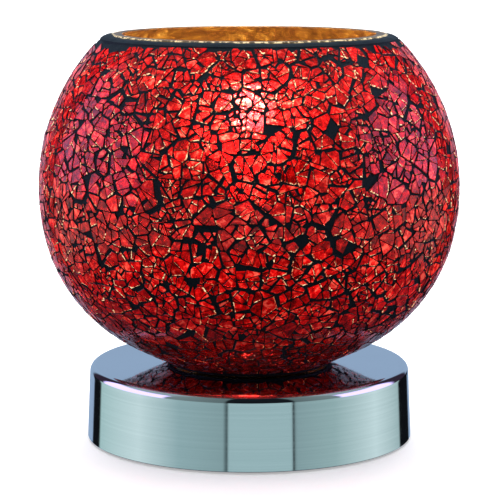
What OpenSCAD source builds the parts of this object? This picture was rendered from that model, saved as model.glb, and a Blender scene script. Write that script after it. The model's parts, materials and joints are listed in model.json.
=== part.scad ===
// Touch lamp: a crackle-mosaic glass globe, open at the top, on a drawn chrome disc base.
// Origin at the centre of the footprint, on the table. +Z is up, the cord leaves at +Y.

/* [Globe] */
// Outside diameter of the globe
globe_d = 150; // [148:0.5:152]
// Outside diameter of the open mouth
mouth_d = 102.4; // [100:0.2:104]
// Height of the globe's widest level above the base's top face
belt_h = 63.5; // [63:0.1:64.5]
// Angle below the widest level at which the globe starts to tuck in
tuck_angle = 13.6; // [13:0.2:15]
// Radius of the tucked-in lower arc
tuck_r = 58.4; // [58:0.2:59]
// Angle at which that arc runs out into the foot cone
foot_angle = 64.4; // [64:0.2:65]
// Thickness of the blown glass wall
glass_t = 2.4; // [2:0.1:2.6]
// Thickness of the grout bed between glass and chips
grout_t = 0.5; // [0.4:0.1:0.6]
// Thickness of the mosaic chips
chip_t = 1.3; // [1.1:0.1:1.4]

/* [Base] */
// Diameter of the base at its lower edge
base_d = 117; // [115:0.5:120]
// Height of the base from its lower edge to its top face
base_h = 26.2; // [26:0.1:28]
// How much smaller the top is, on the radius
base_draft = 1.1; // [0.6:0.1:1.4]
// Radius of the rolled top edge
edge_r = 2.75; // [2:0.25:4]
// Thickness of the chrome-plated sheet
sheet_t = 1; // [0.8:0.1:1.2]
// Height of the rubber feet's pads under the cover plate
foot_pad_h = 2; // [1.8:0.1:2.2]

/* [Bulb] */
// Diameter of the golf-ball bulb
bulb_d = 45; // [40:1:46]
// Height of the bulb's centre contact above the base's top face
contact_h = 35.5; // [35.3:0.1:36]

/* [Hidden] */
$fn = 96;

eps = 0.01;
fit = 0.05;                    // radial clearance of a bolt, thread or plug in its hole
free = 0.3;                    // clearance of a piece that turns

// Base
base_r = base_d / 2;
base_top_r = base_r - base_draft;
foot_gap = 0.8;                // the chrome edge stays this far off the table
base_top = foot_gap + base_h;
ceiling = base_top - sheet_t;  // underside of the base's top sheet
cover_t = 1;
cover_z = foot_pad_h;          // underside of the cover plate
stop_z = cover_z + cover_t;    // the bead that the cover is pulled up against
stop_w = 1.8;
boss_r = 15;                   // raised middle of the cover, which hides the nut
boss_z = cover_z + 4.2;
plate_z = stop_z;
plate_t = 4;
floor_z = plate_z + plate_t;   // top of the weight plate, which carries the electrics
plate_r = 50;
plate_hole_r = 19;
plate_screw_r = 40;
foot_r = 6;
foot_ring_r = 46;

// Nipple and its nuts
nipple_r = 5;
nipple_bore_r = 3.6;
nipple_low = 1.9;
nipple_top = base_top + 11;
nut_af = 14;
nut_t = 3;
washer_r = 9;
washer_t = 0.8;
lug_t = 0.8;

// Cord inlet
inlet_z = 13;
inlet_bore_r = 3.4;
inlet_hole_r = 5;
inlet_in = 49;                 // inner end of the bush, from the lamp's axis
inlet_wall = base_r - base_draft * (inlet_z - foot_gap) / base_h;
inlet_flange_t = 1.4;

// Touch dimmer
case_x = 23;                   // half width
case_y0 = -45;
case_y1 = -20;
case_h = 15;
case_wall = 1.4;
case_top = floor_z + case_h;
ear_x = 26.5;
ear_y = -32;
board_z = floor_z + 3;
board_t = 1.6;
parts_z = board_z + board_t;
lead_r = 0.8;
lead_hole_z = floor_z + 9.5;

// Terminal block
block_y0 = 20;
block_y1 = 36;
block_h = 12;
pole_pitch = 8.2;
pole_z = floor_z + 5;

// Glass, grout and chips: the outer line is inset by these depths
bed_inset = chip_t;
glass_inset = chip_t + grout_t;
inner_inset = chip_t + grout_t + glass_t;
globe_r = globe_d / 2;
belt_z = base_top + belt_h;
rim_z = belt_z + sqrt(pow(globe_r, 2) - pow(mouth_d / 2, 2));
chips_top = rim_z - 1.8;
gasket_t = 0.6;
glass_low = base_top + gasket_t;
glass_floor = glass_low + 3;
glass_foot = base_top + 0.2;
glass_foot_top = base_top + 1.2;
glass_foot_r = 28;
chips_low = base_top + 1.3;
glass_hole_r = 15;

// Lampholder: a threaded barrel on the nipple
barrel_r = 14;                 // over the thread
barrel_root_r = 13.1;
barrel_bore_r = 12.1;
barrel_pitch = 2;
barrel_low = base_top + 1.4;
barrel_top = base_top + 59;
holder_lip_r = 9.2;
cap_plug_top = base_top + 11;
core_low = base_top + 19;
core_top = base_top + 34.6;
slot_x = 5.5;                  // slots in the core for the contact strips
slot_w = 3;
strip_t = 0.6;
sleeve_bore_r = 7.35;
sleeve_r = 8.2;
sleeve_top = base_top + 55;

// Shade ring
ring_low = glass_floor + 1;
ring_h = 8.4;
ring_flange_t = 2;
ring_flange_r = 21.5;
ring_hub_r = 18.5;
ring_bore_r = barrel_r + free;

// Bulb: heights are above its centre contact
bulb_z = base_top + contact_h;
bulb_r = bulb_d / 2;
bulb_wall = 0.7;
cap_thread_r = 6.95;
cap_root_r = 6.2;
cap_pitch = 2.822;
cap_wall = 0.35;
neck_r = 7.7;
ball_low = -50;                // the ball runs down to this angle, then turns into the neck
ball_z = bulb_z + 78 - bulb_r;
filament_r = 9;
filament_z = ball_z - 3;

// ---------- helpers ----------

module ring(outer, inner, h) {
    difference() {
        cylinder(r = outer, h = h);
        translate([0, 0, -1]) cylinder(r = inner, h = h + 2);
    }
}

module lathe(outline) {
    rotate_extrude() polygon(outline);
}

module each_turn(count, first = 0) {
    for (i = [0:count - 1]) rotate([0, 0, first + 360 * i / count]) children();
}

module hex_nut(across, bore, h) {
    difference() {
        cylinder(r = across / sqrt(3), h = h, $fn = 6);
        translate([0, 0, -1]) cylinder(r = bore, h = h + 2, $fn = 96);
    }
}

// A straight round rod from point p to point q
module rod(p, q, r) {
    d = q - p;
    translate(p) rotate([0, acos(d[2] / norm(d)), atan2(d[1], d[0])]) cylinder(r = r, h = norm(d));
}

module box(low, high) {
    translate(low) cube(high - low);
}

function unit(v) = v / norm(v);

// Points of an arc round c from angle a to angle b, in n steps
function arc(c, r, a, b, n) = [for (i = [0:n]) c + r * [cos(a + (b - a) * i / n), sin(a + (b - a) * i / n)]];

// A smooth curve through the points p, with n steps between neighbours
function clamp_at(p, i) = p[max(0, min(len(p) - 1, i))];
function blend(a, b, c, d, t) =
    0.5 * (2 * b + (c - a) * t + (2 * a - 5 * b + 4 * c - d) * t * t + (3 * b - a - 3 * c + d) * t * t * t);
function curve(p, n) = [
    for (i = [0:len(p) - 2]) for (k = [0:n - 1])
        blend(clamp_at(p, i - 1), p[i], p[i + 1], clamp_at(p, i + 2), k / n),
    p[len(p) - 1]
];

// A round lead of radius r swept along the route p, whose direction is never along X
module lead(p, r) {
    sides = 8;
    path = curve(p, 3);
    last = len(path) - 1;
    ways = [for (i = [0:last]) unit(path[min(i + 1, last)] - path[max(i - 1, 0)])];
    points = [
        for (i = [0:last]) for (k = [0:sides - 1])
            let (u = unit(cross([1, 0, 0], ways[i])), v = cross(ways[i], u))
                path[i] + r * (cos(360 * k / sides) * u + sin(360 * k / sides) * v)
    ];
    walls = [
        for (i = [0:last - 1]) for (k = [0:sides - 1])
            let (a = i * sides + k, b = i * sides + (k + 1) % sides)
                [a, a + sides, b + sides, b]
    ];
    ends = [[for (k = [0:sides - 1]) k], [for (k = [sides - 1:-1:0]) last * sides + k]];
    polyhedron(points, concat(walls, ends));
}

// The globe's outer line, moved inwards by inset: [radius, height] from z_high down to z_low
arc_centre = [0, belt_z] + (globe_r - tuck_r) * [cos(tuck_angle), -sin(tuck_angle)];
function cone_start(inset) = arc_centre + (tuck_r - inset) * [cos(foot_angle), -sin(foot_angle)];
function cone_r(inset, z) = cone_start(inset)[0] - (cone_start(inset)[1] - z) * tan(foot_angle);
function globe_line(inset, z_high, z_low) = concat(
    arc([0, belt_z], globe_r - inset, asin((z_high - belt_z) / (globe_r - inset)), -tuck_angle, 18),
    arc(arc_centre, tuck_r - inset, -tuck_angle - 3.5, -foot_angle, 15),
    [[cone_r(inset, z_low), z_low]]
);
function backwards(p) = [for (i = [len(p) - 1:-1:0]) p[i]];
function shell_line(outer, inner, z_high, z_low) =
    concat(globe_line(outer, z_high, z_low), backwards(globe_line(inner, z_high, z_low)));

// ---------- base ----------

module base_shell() {
    wall_r = base_r - sheet_t;
    top_r = base_top_r - sheet_t;
    color("gainsboro") difference() {
        lathe(concat(
            [[base_r, foot_gap]],
            arc([base_top_r - edge_r, base_top - edge_r], edge_r, 0, 90, 8),
            [[nipple_r + fit, base_top], [nipple_r + fit, ceiling]],
            arc([base_top_r - edge_r, base_top - edge_r], edge_r - sheet_t, 90, 0, 6),
            [
                [wall_r, stop_z + 1.2], [wall_r - stop_w, stop_z + 1],
                [wall_r - stop_w, stop_z], [wall_r, stop_z], [wall_r, foot_gap]
            ]
        ));
        translate([0, inlet_in, inlet_z]) rotate([-90, 0, 0]) cylinder(r = inlet_hole_r, h = 20);
    }
}

// Pressed cover plate, dished up in the middle over the nut
module bottom_cover() {
    cover_r = base_r - sheet_t - free;
    color("dimgray") difference() {
        lathe([
            [nipple_r + fit, boss_z], [boss_r, boss_z], [boss_r + 3, cover_z], [cover_r, cover_z],
            [cover_r, stop_z], [boss_r + 2.5, stop_z], [boss_r - 0.5, boss_z + cover_t],
            [nipple_r + fit, boss_z + cover_t]
        ]);
        each_turn(3) translate([plate_screw_r, 0, cover_z - 1]) cylinder(r = 2.2, h = cover_t + 2);
    }
}

module weight_plate() {
    color("slategray") difference() {
        translate([0, 0, plate_z]) ring(plate_r, plate_hole_r, plate_t);
        each_turn(3) translate([plate_screw_r, 0, plate_z - 1]) cylinder(r = 2 + fit, h = plate_t + 2);
        for (x = [-ear_x, ear_x])
            translate([x, ear_y, floor_z - 3]) cylinder(r = 1.5 + fit, h = 4);
        for (x = [-clamp_screw_x, clamp_screw_x])
            translate([x, clamp_y, floor_z - 3]) cylinder(r = 1.5 + fit, h = 4);
    }
}

// Pan-head screw, head down at z = 0 and shank up, with a cross recess
module pan_screw(head_r, head_h, shank_r, length) {
    difference() {
        union() {
            translate([0, 0, -head_h]) cylinder(r1 = head_r * 0.8, r2 = head_r, h = head_h / 2);
            translate([0, 0, -head_h / 2]) cylinder(r = head_r, h = head_h / 2);
            cylinder(r = shank_r, h = length);
        }
        for (a = [0, 90]) rotate([0, 0, a])
            box([-head_r * 0.55, -head_r * 0.12, -head_h - 1], [head_r * 0.55, head_r * 0.12, -head_h * 0.5]);
    }
}

module plate_screws() {
    color("silver") each_turn(3)
        translate([plate_screw_r, 0, cover_z]) pan_screw(3.6, 1.5, 2, floor_z - cover_z);
}

module rubber_feet() {
    color("black") each_turn(4, 45) translate([foot_ring_r, 0, 0]) lathe([
        [0, 0], [foot_r - 0.6, 0], [foot_r, 0.6], [foot_r, foot_pad_h], [0, foot_pad_h]
    ]);
}

// Hollow threaded tube, slotted across so that the leads can enter it inside the base
module threaded_nipple() {
    color("goldenrod") difference() {
        translate([0, 0, nipple_low]) ring(nipple_r, nipple_bore_r, nipple_top - nipple_low);
        box([-2.4, -8, floor_z + 2], [2.4, 8, ceiling - 8]);
    }
}

module lower_washer() {
    color("silver") translate([0, 0, boss_z - washer_t]) ring(washer_r, nipple_r + fit, washer_t);
}

module lower_nut() {
    color("silver") translate([0, 0, boss_z - washer_t - nut_t]) hex_nut(nut_af, nipple_r + fit, nut_t);
}

module inner_washer() {
    color("silver") translate([0, 0, ceiling - washer_t]) difference() {
        ring(washer_r, nipple_r + fit, washer_t);
        each_turn(12) translate([washer_r, 0, -1]) cylinder(r = 0.8, h = 3, $fn = 4);
    }
}

// Ring tag that puts the chrome shell on the dimmer's sensing input
module sensor_terminal() {
    color("silver") translate([0, 0, ceiling - washer_t - lug_t]) rotate([0, 0, -60]) difference() {
        union() {
            cylinder(r = 8, h = lug_t);
            box([0, -2, 0], [16, 2, lug_t]);
        }
        translate([0, 0, -1]) cylinder(r = nipple_r + fit, h = 3);
    }
}

module inner_nut() {
    color("silver") translate([0, 0, ceiling - washer_t - lug_t - nut_t]) hex_nut(nut_af, nipple_r + fit, nut_t);
}

// ---------- cord inlet ----------

clamp_y = 43;
clamp_screw_x = 7.2;
clamp_t = 1.2;

// Bush for the mains cord, through the back of the base
module cord_bush() {
    wall_in = inlet_wall - sheet_t;
    flange_gap = 0.35;         // the wall leans, so the flat flange meets it only at its lower edge
    color("black") translate([0, 0, inlet_z]) rotate([-90, 0, 0]) lathe([
        [inlet_bore_r, inlet_in], [inlet_hole_r + 0.4, inlet_in], [inlet_hole_r + 0.8, inlet_in + 1.5],
        [inlet_hole_r + 0.8, wall_in - 0.8], [inlet_hole_r - fit, wall_in - 0.8],
        [inlet_hole_r - fit, inlet_wall + flange_gap], [inlet_hole_r + 1.6, inlet_wall + flange_gap],
        [inlet_hole_r + 1.2, inlet_wall + inlet_flange_t], [inlet_bore_r, inlet_wall + inlet_flange_t]
    ]);
}

// Saddle that grips the cord on the weight plate
module cord_clamp() {
    arch_z = 3.5;
    color("white") translate([0, clamp_y + 3, floor_z]) rotate([90, 0, 0]) difference() {
        linear_extrude(6) difference() {
            union() {
                translate([-10.5, 0]) square([21, clamp_t]);
                translate([-4.4, 0]) square([8.8, arch_z]);
                translate([0, arch_z]) circle(r = 4.4);
            }
            translate([-3.2, -1]) square([6.4, arch_z + 1]);
            translate([0, arch_z]) circle(r = 3.2);
            translate([-11, -5]) square([22, 5]);
        }
        for (x = [-clamp_screw_x, clamp_screw_x])
            translate([x, -1, 3]) rotate([-90, 0, 0]) cylinder(r = 1.6, h = 4);
    }
}

module cord_clamp_screws() {
    color("silver") for (x = [-clamp_screw_x, clamp_screw_x])
        translate([x, clamp_y, floor_z + clamp_t]) mirror([0, 0, 1]) pan_screw(2.4, 1.6, 1.5, clamp_t + 2.8);
}

// ---------- touch dimmer ----------

lead_x = [-16, 4, 12];         // where the live, lamp and sensor leads leave the case

module dimmer_case() {
    color("ivory") difference() {
        union() {
            box([-case_x, case_y0, floor_z], [case_x, case_y1, case_top - case_wall]);
            box([-ear_x - 4, ear_y - 4, floor_z], [ear_x + 4, ear_y + 4, floor_z + 2]);
        }
        box([-case_x + case_wall, case_y0 + case_wall, floor_z + case_wall],
            [case_x - case_wall, case_y1 - case_wall, case_top]);
        for (x = [-ear_x, ear_x]) translate([x, ear_y, floor_z - 1]) cylinder(r = 1.6, h = 4);
        for (x = lead_x)
            translate([x, case_y1 - 3, lead_hole_z]) rotate([-90, 0, 0]) cylinder(r = 1.3, h = 5);
    }
}

module dimmer_lid() {
    lip = case_wall + fit;
    color("ivory") {
        difference() {
            union() {
                box([-case_x, case_y0, case_top - case_wall], [case_x, case_y1, case_top]);
                box([-case_x + lip, case_y0 + lip, case_top - case_wall - 1.2],
                    [case_x - lip, case_y1 - lip, case_top - case_wall]);
            }
            box([-case_x + lip + 1, case_y0 + lip + 1, case_top - case_wall - 2],
                [case_x - lip - 1, case_y1 - lip - 1, case_top - case_wall]);
        }
    }
}

module dimmer_screws() {
    color("silver") for (x = [-ear_x, ear_x])
        translate([x, ear_y, floor_z + 2]) mirror([0, 0, 1]) pan_screw(2.6, 1.6, 1.5, 4.8);
}

module dimmer_board() {
    edge = case_wall + 0.3;
    color("darkgreen") {
        box([-case_x + edge, case_y0 + edge, board_z], [case_x - edge, case_y1 - edge, board_z + board_t]);
        for (x = [-17, 17]) for (y = [case_y0 + 5, case_y1 - 5])
            translate([x, y, floor_z + case_wall]) cylinder(r = 1.6, h = board_z - floor_z - case_wall);
    }
}

// Power switch in a flat package, lying against its tab
module dimmer_triac() {
    color("black") translate([-16, -38, parts_z]) {
        box([-5, -2.2, 0.5], [5, 2.2, 7.5]);
        for (x = [-2.5, 0, 2.5]) box([x - 0.4, -0.3, 0], [x + 0.4, 0.3, 0.5]);
    }
}

module dimmer_choke() {
    color("saddlebrown") translate([-2, -37.5, parts_z]) rotate_extrude() translate([4, 0]) polygon([
        [-1.8, 0.6], [-1.2, 0], [1.2, 0], [1.8, 0.6], [1.8, 4.4], [1.2, 5], [-1.2, 5], [-1.8, 4.4]
    ]);
}

module dimmer_capacitors() {
    color("orangered") {
        box([7, -41.5, parts_z], [19, -36.5, parts_z + 8]);
        translate([-8, -26, parts_z]) cylinder(r = 2.5, h = 7);
        translate([18, -30, parts_z]) cylinder(r = 2, h = 6);
    }
}

module dimmer_chip() {
    color("black") translate([5, -28, parts_z]) {
        box([-4.8, -3, 0.5], [4.8, 3, 3.6]);
        for (x = [-3.8:2.54:3.9]) for (y = [-3.3, 3]) box([x - 0.25, y, 0], [x + 0.25, y + 0.3, 1.8]);
    }
}

// ---------- terminal block ----------

poles = [-pole_pitch, 0, pole_pitch];
screw_rows = [block_y0 + 4, block_y1 - 4];

module terminal_block() {
    color("white") difference() {
        box([-12.4, block_y0, floor_z], [12.4, block_y1, floor_z + block_h]);
        for (x = poles) {
            translate([x, block_y0 - 1, pole_z]) rotate([-90, 0, 0]) cylinder(r = 2.5, h = block_y1 - block_y0 + 2);
            for (y = screw_rows) translate([x, y, pole_z]) cylinder(r = 1.7, h = block_h);
        }
    }
}

module terminal_inserts() {
    length = block_y1 - block_y0 - 3;
    color("gold") for (x = poles) translate([x, block_y0 + 1.5, pole_z]) difference() {
        rotate([-90, 0, 0]) ring(2.5 - fit, 1.6, length);
        for (y = screw_rows) translate([0, y - block_y0 - 1.5, 0]) cylinder(r = 1.5, h = 4);
    }
}

module terminal_screws() {
    color("silver") for (x = poles) for (y = screw_rows) translate([x, y, pole_z + 1.7]) difference() {
        cylinder(r = 1.4, h = 4);
        box([-2, -0.3, 3.2], [2, 0.3, 5]);
    }
}

// ---------- leads inside the base ----------

terminal_x = 7;                // contact strips in the lampholder
strip_low = base_top + 18;

module live_lead() {
    color("brown") lead([
        [-8.2, 23, 12], [-8.2, 18, 12], [-12, 12, 13], [-16, 2, 15], [-17, -8, 16.5],
        [-16, -15, 16.5], [-16, -20, 16.5], [-16, -24, 16.3]
    ], lead_r);
}

module lamp_lead() {
    color("darkred") lead([
        [4, -24, 16.3], [4, -20, 16.5], [4, -14, 16.2], [2, -8, 14.5], [1.2, -3, 13.5], [1.2, -0.5, 16],
        [1.2, 0, 20], [1.2, 0, 28], [1.2, 0, 36], [3, 0.2, 39.5], [6.2, 0, 42.5], [7, 0, 44.8]
    ], lead_r);
}

module neutral_lead() {
    color("royalblue") lead([
        [0, 23, 12], [0, 18, 12], [-0.6, 12, 12.5], [-1.2, 6, 12.8], [-1.2, 2, 13.5], [-1.2, 0.4, 16],
        [-1.2, 0, 20], [-1.2, 0, 28], [-1.2, 0, 36], [-3, 0.2, 39.5], [-6.2, 0, 42.5], [-7, 0, 44.8]
    ], lead_r);
}

module sensor_lead() {
    color("yellow") lead([
        [7.6, -13.2, 23.5], [8.4, -15, 23.2], [10.5, -17, 21], [12, -18, 18.2], [12, -20, 16.6], [12, -24, 16.3]
    ], lead_r);
}

// ---------- glass shade ----------

module seat_gasket() {
    color("black") translate([0, 0, base_top]) ring(24, 16, gasket_t);
}

// Blown globe with an open mouth, a flat floor and a thin foot that stands on the base
module shade_globe() {
    floor_r = cone_r(inner_inset, glass_floor);
    color("orange", 0.6) lathe(concat(
        globe_line(glass_inset, rim_z, glass_foot_top),
        [
            [glass_foot_r, glass_foot_top], [glass_foot_r, glass_foot], [24.4, glass_foot], [24.4, glass_low],
            [glass_hole_r, glass_low], [glass_hole_r, glass_floor]
        ],
        backwards(globe_line(inner_inset, rim_z, glass_floor))
    ));
}

// Grout bed under the chips, ending in a sloped bead round the outside of the bare cut edge
module grout_layer() {
    color("midnightblue") lathe(concat(
        globe_line(bed_inset, chips_top, chips_low),
        backwards(globe_line(glass_inset, rim_z, chips_low)),
        arc([0, belt_z], globe_r, asin((rim_z - 1 - belt_z) / globe_r), asin((chips_top - belt_z) / globe_r), 3)
    ));
}

// The chips stand as one layer of their full thickness
module mosaic_layer() {
    color("firebrick") lathe(shell_line(0, bed_inset, chips_top, chips_low));
}

// ---------- lampholder ----------

// Lower cap with the thread for the nipple
module holder_cap() {
    color("black") difference() {
        lathe([
            [nipple_r + fit, base_top], [13.9, base_top], [13.9, barrel_low], [barrel_bore_r - fit, barrel_low],
            [barrel_bore_r - fit, cap_plug_top + 2], [10.4, cap_plug_top + 2], [10.4, cap_plug_top - 1],
            [nipple_r + fit, cap_plug_top - 1]
        ]);
        translate([0, 0, base_top + 5.5]) rotate([0, 90, 0]) cylinder(r = 1.6 + fit, h = 20);
    }
}

module holder_grub_screw() {
    color("silver") translate([nipple_r + fit, 0, base_top + 5.5]) rotate([0, 90, 0]) difference() {
        cylinder(r = 1.6, h = 6);
        translate([0, 0, 4.6]) cylinder(r = 0.8, h = 3, $fn = 6);
    }
}

// Fully threaded barrel: the thread is drawn as separate rings of the same pitch
module holder_body() {
    turns = floor((barrel_top - barrel_low - 3) / barrel_pitch);
    start = barrel_low + 1;
    color("black") lathe(concat(
        [[barrel_bore_r, barrel_low], [barrel_root_r, barrel_low]],
        [
            for (i = [0:turns - 1]) for (s = [[0, 0], [0.9, 0.45], [0.9, 0.95], [0, 1.4]])
                [barrel_root_r + s[0], start + i * barrel_pitch + s[1]]
        ],
        [
            [barrel_root_r, barrel_top - 0.8], [barrel_root_r - 0.8, barrel_top], [holder_lip_r + 0.6, barrel_top],
            [holder_lip_r, barrel_top - 0.6], [holder_lip_r, barrel_top - 2.5], [barrel_bore_r, barrel_top - 2.5]
        ]
    ));
}

// Ceramic core: slots for the two contact strips and a channel for the centre tongue
module holder_core() {
    color("ivory") difference() {
        translate([0, 0, core_low]) cylinder(r = barrel_bore_r - fit, h = core_top - core_low);
        for (side = [0, 180]) rotate([0, 0, side]) {
            box([slot_x, -2.6, core_low - 1], [slot_x + slot_w, 2.6, core_top + 1]);
            translate([slot_x, 0, core_low + 4]) rotate([0, 90, 0]) cylinder(r = 1.4 + fit, h = 10);
        }
        box([-3, -2.6, core_top - 2.4], [slot_x + 1, 2.6, core_top + 1]);
    }
}

module holder_screws() {
    color("goldenrod") for (side = [0, 180]) rotate([0, 0, side])
        translate([terminal_x + strip_t, 0, core_low + 4]) rotate([0, 90, 0]) cylinder(r = 1.4, h = 4);
}

// Tongue that presses on the bulb's centre contact
module centre_contact() {
    tongue_z = core_top - 1.6;
    color("goldenrod") {
        box([terminal_x, -2.2, strip_low], [terminal_x + strip_t, 2.2, tongue_z + strip_t]);
        box([-2.4, -2.2, tongue_z], [terminal_x + eps, 2.2, tongue_z + strip_t]);
        translate([0, 0, tongue_z + strip_t - eps])
            cylinder(r1 = 1.8, r2 = 1.2, h = contact_h - 0.3 - (tongue_z + strip_t - base_top));
    }
}

// Strip that feeds the threaded sleeve from below
module side_contact() {
    color("goldenrod") {
        box([-terminal_x - strip_t, -2.2, strip_low], [-terminal_x, 2.2, core_top]);
    }
}

// Brass sleeve that the bulb's cap screws into
module holder_sleeve() {
    color("gold") lathe([
        [sleeve_bore_r, core_top], [11.4, core_top], [11.4, core_top + 0.8], [sleeve_r, core_top + 0.8],
        [sleeve_r, sleeve_top], [sleeve_bore_r, sleeve_top]
    ]);
}

// ---------- shade ring ----------

module ring_washer() {
    color("tan") translate([0, 0, glass_floor]) ring(20.5, ring_bore_r, ring_low - glass_floor);
}

// Threaded ring that clamps the glass floor, with finger notches round its hub
module shade_ring() {
    color("black") difference() {
        lathe([
            [ring_bore_r, ring_low], [ring_flange_r, ring_low], [ring_flange_r, ring_low + ring_flange_t],
            [ring_hub_r, ring_low + ring_flange_t + 0.6], [ring_hub_r, ring_low + ring_h - 0.8],
            [ring_hub_r - 0.8, ring_low + ring_h], [ring_bore_r, ring_low + ring_h]
        ]);
        each_turn(12) translate([ring_hub_r + 1.2, 0, ring_low + ring_flange_t + 0.6]) cylinder(r = 2.2, h = ring_h);
    }
}

// ---------- bulb ----------

function bulb_line(inset) = concat(
    arc([0, ball_z], bulb_r - inset, 90, ball_low, 28),
    [
        for (s = [[9.9, 33.8], [8.8, 31.6], [8.1, 29], [neck_r + 0.1, 26.5], [neck_r, 25.4], [neck_r, 22.2]])
            [s[0] - inset, bulb_z + s[1]]
    ]
);

module bulb_envelope() {
    color("white", 0.8) lathe(concat(bulb_line(0), backwards(bulb_line(bulb_wall))));
}

module bulb_cap() {
    thread = [
        for (i = [0:3]) for (s = [[0, 0], [0.8, 0.6], [1, 1.4], [0.8, 2.2]])
            [cap_root_r + (cap_thread_r - cap_root_r) * s[0], 5 + i * cap_pitch + s[1]]
    ];
    line = concat([[5.2, 4.1], [6, 4.7]], thread, [[6.8, 17.4], [7, 19.4], [8.35, 21.4], [8.45, 25]]);
    color("silver") lathe(concat(
        [for (p = line) [p[0], bulb_z + p[1]]],
        [for (p = backwards(line)) [p[0] - cap_wall, bulb_z + p[1]]]
    ));
}

module bulb_insulator() {
    color("black") lathe([
        [0, bulb_z + 1.5], [3, bulb_z + 1.5], [5.1, bulb_z + 4], [4.8, bulb_z + 4], [4.8, bulb_z + 6],
        [0, bulb_z + 6]
    ]);
}

module bulb_contact() {
    color("silver") lathe([
        [0, bulb_z], [1.4, bulb_z + 0.1], [2.2, bulb_z + 0.6], [2.5, bulb_z + 1.5], [0, bulb_z + 1.5]
    ]);
}

// Glass mount inside the neck, which carries the support wires
module bulb_stem() {
    color("lightcyan") lathe([
        [0, bulb_z + 23.2], [6.6, bulb_z + 23.2], [6.7, bulb_z + 24.4], [3, bulb_z + 28], [2.2, bulb_z + 33],
        [2, bulb_z + 41], [0, bulb_z + 41]
    ]);
}

module bulb_supports() {
    top = bulb_z + 41.2;
    color("gray") for (side = [-1, 1])
        rod([side * 1.1, 0, top], [side * filament_r, 0, filament_z - 0.55], 0.25);
}

// Coiled tungsten, drawn as one round arc between the support wires
module bulb_filament() {
    color("orange") translate([0, 0, filament_z])
        rotate_extrude(angle = 180) translate([filament_r, 0]) circle(r = 0.3, $fn = 24);
}

base_shell();
bottom_cover();
weight_plate();
plate_screws();
rubber_feet();
threaded_nipple();
lower_nut();
lower_washer();
inner_nut();
inner_washer();
sensor_terminal();
cord_bush();
cord_clamp();
cord_clamp_screws();
dimmer_case();
dimmer_lid();
dimmer_screws();
dimmer_board();
dimmer_triac();
dimmer_choke();
dimmer_capacitors();
dimmer_chip();
terminal_block();
terminal_inserts();
terminal_screws();
live_lead();
lamp_lead();
neutral_lead();
sensor_lead();
seat_gasket();
shade_globe();
grout_layer();
mosaic_layer();
holder_cap();
holder_body();
holder_core();
holder_sleeve();
holder_grub_screw();
centre_contact();
side_contact();
holder_screws();
shade_ring();
ring_washer();
bulb_envelope();
bulb_cap();
bulb_insulator();
bulb_contact();
bulb_stem();
bulb_supports();
bulb_filament();
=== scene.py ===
"""Looks of the mosaic touch lamp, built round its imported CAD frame. Metres, +Z up, front at -Y."""
import json
import math
import random

import bmesh
import bpy
from mathutils import Matrix, Vector, noise


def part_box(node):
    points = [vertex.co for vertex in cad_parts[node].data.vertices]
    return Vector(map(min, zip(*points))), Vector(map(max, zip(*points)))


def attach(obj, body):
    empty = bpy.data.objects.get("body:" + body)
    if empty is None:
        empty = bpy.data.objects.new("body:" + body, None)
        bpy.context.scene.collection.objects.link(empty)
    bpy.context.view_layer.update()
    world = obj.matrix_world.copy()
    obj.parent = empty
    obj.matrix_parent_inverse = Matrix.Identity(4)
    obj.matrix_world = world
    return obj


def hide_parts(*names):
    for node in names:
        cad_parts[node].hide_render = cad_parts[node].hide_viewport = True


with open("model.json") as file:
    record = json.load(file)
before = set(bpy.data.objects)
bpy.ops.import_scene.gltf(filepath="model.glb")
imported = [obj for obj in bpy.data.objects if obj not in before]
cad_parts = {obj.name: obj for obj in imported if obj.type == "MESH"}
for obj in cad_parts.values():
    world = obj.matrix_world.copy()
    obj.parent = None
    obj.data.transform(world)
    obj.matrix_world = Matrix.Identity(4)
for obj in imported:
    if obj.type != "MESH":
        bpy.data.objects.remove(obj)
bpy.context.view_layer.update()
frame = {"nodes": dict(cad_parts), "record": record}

MM = 0.001
TURN = 2 * math.pi

# ---------- sizes: from the frame, and the globe's outline as the CAD has it ----------

GLOBE_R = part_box("mosaic_layer")[1].x
CHIPS_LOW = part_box("mosaic_layer")[0].z
CHIPS_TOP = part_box("mosaic_layer")[1].z
GROUT_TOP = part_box("grout_layer")[1].z
GLASS_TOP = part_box("shade_globe")[1].z
BASE_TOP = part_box("base_shell")[1].z
BASE_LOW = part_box("base_shell")[0].z
BASE_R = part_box("base_shell")[1].x
BULB_LOW, BULB_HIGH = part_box("bulb_envelope")
BULB_R = BULB_HIGH.x
BULB_Z = BULB_HIGH.z - BULB_R

BELT_Z = BASE_TOP + 63.5 * MM
TUCK_ANGLE = math.radians(13.6)
TUCK_R = 58.4 * MM
FOOT_ANGLE = math.radians(64.4)
CHIP_T = 1.3 * MM
GROUT_T = 0.5 * MM
GLASS_T = 2.4 * MM
GLASS_OUT = CHIP_T + GROUT_T                        # depths of the glass's two faces in the globe's surface
GLASS_IN = GLASS_OUT + GLASS_T
GLASS_FOOT_R = 28 * MM
ARC_R = (GLOBE_R - TUCK_R) * math.cos(TUCK_ANGLE)   # centre of the tucked-in arc, from the belt's centre
ARC_Z = -(GLOBE_R - TUCK_R) * math.sin(TUCK_ANGLE)
BELT = Vector((0, 0, BELT_Z))


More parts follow.
